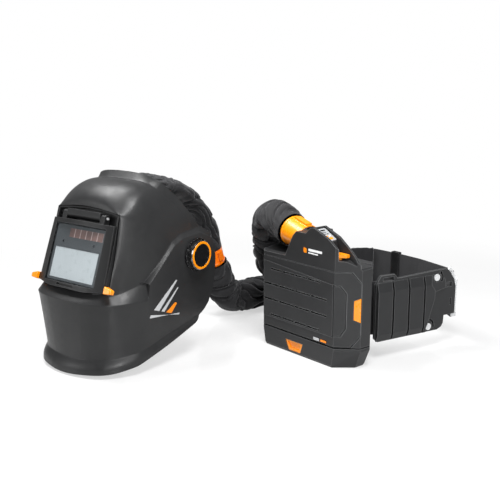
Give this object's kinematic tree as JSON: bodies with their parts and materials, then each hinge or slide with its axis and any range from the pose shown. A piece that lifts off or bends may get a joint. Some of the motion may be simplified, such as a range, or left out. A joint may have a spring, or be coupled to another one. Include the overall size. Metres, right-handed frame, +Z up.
{
  "type": "powered air respirator",
  "caption": "Welding helmet with flip-up lens and air duct, joined by a fabric-sleeved hose to a belt-worn filter and fan unit with a padded ribbed belt",
  "frame": {"origin": "centre of the flat base of the battery, on the ground plane", "axes": "+Z up, -Y out of the front face of the fan unit, +X to its right-hand end where the ribbed belt wing is seen"},
  "size_m": [0.4821, 0.6417, 0.3088],
  "materials": {
    "charcoal_shell": "satin charcoal moulding",
    "black_moulding": "fine-grained black moulding",
    "unit_moulding": "fine-grained charcoal moulding",
    "orange_plastic": "glossy orange moulding",
    "deep_orange_plastic": "glossy deep orange moulding",
    "cartridge_grey": "grey moulding",
    "pale_pane": "pale reflecting pane",
    "clear_plate": "clear polycarbonate",
    "solar": "amorphous solar cell",
    "sensor": "dark sensor windows",
    "steel": "brushed steel",
    "motor_metal": "cast and machined",
    "filter_pleat": "pleated filter medium",
    "screen_wire": "perforated screen",
    "board": "circuit board",
    "display": "printed display panel",
    "cell_wrap": "shrink-wrapped cells",
    "sleeve_fabric": "wrinkled flame-retardant sleeve",
    "pad_fabric": "padded black lining",
    "webbing": "woven webbing",
    "pale_plastic": "pale moulding"
  },
  "bodies": {
    "unit": {"blower_housing": "unit_moulding", "rear_cover": "unit_moulding", "cover_hinge_pin": "steel", "spark_screen": "screen_wire", "filter_frame": "black_moulding", "filter_media": "filter_pleat", "fan_volute": "black_moulding", "fan_motor": "motor_metal", "control_board": "board", "display_panel": "display", "outlet_socket": "black_moulding", "belt_bracket": "black_moulding", "comfort_pad": "pad_fabric", "wing_right": "unit_moulding", "wing_left": "unit_moulding", "wing_rivets": "steel", "belt_webbing": "webbing", "belt_keeper": "black_moulding", "buckle_plate": "steel", "hose": "sleeve_fabric", "hose_socket": "black_moulding", "head_band": "black_moulding", "crown_strap": "black_moulding", "brow_pad": "pad_fabric", "ratchet_housing": "black_moulding", "pivot_arms": "black_moulding", "pivot_bolts": "black_moulding"},
    "filter_door": {"filter_cover": "unit_moulding"},
    "door_latch": {"cover_latch": "orange_plastic"},
    "fan": {"impeller": "pale_plastic"},
    "button": {"power_button": "orange_plastic"},
    "outlet_ring": {"blower_collar": "orange_plastic"},
    "battery": {"battery_case": "unit_moulding", "battery_cells": "cell_wrap"},
    "battery_catch": {"battery_latch": "orange_plastic"},
    "buckle": {"buckle_frame": "steel"},
    "helmet_ring": {"helmet_collar": "deep_orange_plastic"},
    "shell": {"helmet_shell": "charcoal_shell", "window_frame": "black_moulding", "hinge_block": "black_moulding", "hinge_pin": "steel", "inner_visor": "clear_plate", "side_dials": "black_moulding", "duct_nozzle": "black_moulding", "air_duct": "sleeve_fabric"},
    "lens": {"flip_frame": "black_moulding", "lift_tabs": "orange_plastic", "cover_plate": "clear_plate", "lens_cartridge": "cartridge_grey", "solar_cell": "solar", "lens_pane": "pale_pane", "light_sensors": "sensor"},
    "shade": {"shade_dial": "black_moulding"},
    "knob_r": {"knob_right": "black_moulding", "knob_ring_right": "orange_plastic"},
    "knob_l": {"knob_left": "black_moulding", "knob_ring_left": "orange_plastic"},
    "ratchet": {"ratchet_knob": "black_moulding"}
  },
  "joints": [
    {"name": "shell_flip", "type": "hinge", "parent": "unit", "child": "shell", "pos_m": [-0.22116, -0.19644, 0.17457], "axis": [-0.9781, -0.2079, 0], "range_deg": [0, 70], "deforming": ["air_duct"]},
    {"name": "lens_flip", "type": "hinge", "parent": "shell", "child": "lens", "pos_m": [-0.19342, -0.32695, 0.24655], "axis": [-0.9781, -0.2079, 0], "range_deg": [0, 75]},
    {"name": "shade_turn", "type": "hinge", "parent": "lens", "child": "shade", "pos_m": [-0.22646, -0.33984, 0.21032], "axis": [-0.1954, 0.9192, -0.342], "range_deg": [0, 270]},
    {"name": "knob_right_turn", "type": "hinge", "parent": "unit", "child": "knob_r", "pos_m": [-0.10574, -0.17191, 0.17457], "axis": [0.9781, 0.2079, 0], "continuous": true},
    {"name": "knob_left_turn", "type": "hinge", "parent": "unit", "child": "knob_l", "pos_m": [-0.33658, -0.22098, 0.17457], "axis": [0.9781, 0.2079, 0], "continuous": true},
    {"name": "ratchet_turn", "type": "hinge", "parent": "unit", "child": "ratchet", "pos_m": [-0.23881, -0.11339, 0.13177], "axis": [-0.1703, 0.8013, -0.5736], "continuous": true},
    {"name": "filter_door_hinge", "type": "hinge", "parent": "unit", "child": "filter_door", "pos_m": [-0.111, -0.0125, 0.0985], "axis": [0, 0, -1], "range_deg": [0, 60]},
    {"name": "door_latch_press", "type": "slide", "parent": "unit", "child": "door_latch", "axis": [-0.7013, 0.7128, 0], "range_m": [0, 0.002], "stiffness_N_per_m": 400},
    {"name": "fan_spin", "type": "hinge", "parent": "unit", "child": "fan", "pos_m": [-0.008, 0, 0.0985], "axis": [0, 1, 0], "continuous": true},
    {"name": "button_press", "type": "slide", "parent": "unit", "child": "button", "axis": [0, 0, -1], "range_m": [0, 0.0015], "stiffness_N_per_m": 500},
    {"name": "outlet_ring_turn", "type": "hinge", "parent": "unit", "child": "outlet_ring", "pos_m": [-0.008, -0.014, 0.192], "axis": [-0.9686, 0.1361, 0.2079], "range_deg": [0, 30]},
    {"name": "helmet_ring_turn", "type": "hinge", "parent": "unit", "child": "helmet_ring", "pos_m": [-0.25525, -0.03606, 0.1432], "axis": [-0.0603, 0.2839, -0.957], "range_deg": [0, 30]},
    {"name": "battery_slide", "type": "slide", "parent": "unit", "child": "battery", "axis": [0, -1, 0], "range_m": [0, 0.06]},
    {"name": "battery_catch_press", "type": "slide", "parent": "battery", "child": "battery_catch", "axis": [0, 1, 0], "range_m": [0, 0.002], "stiffness_N_per_m": 400},
    {"name": "buckle_turn", "type": "hinge", "parent": "unit", "child": "buckle", "pos_m": [0.125, 0.213, 0.076], "axis": [0, 0, 1], "range_deg": [0, 60]}
  ]
}
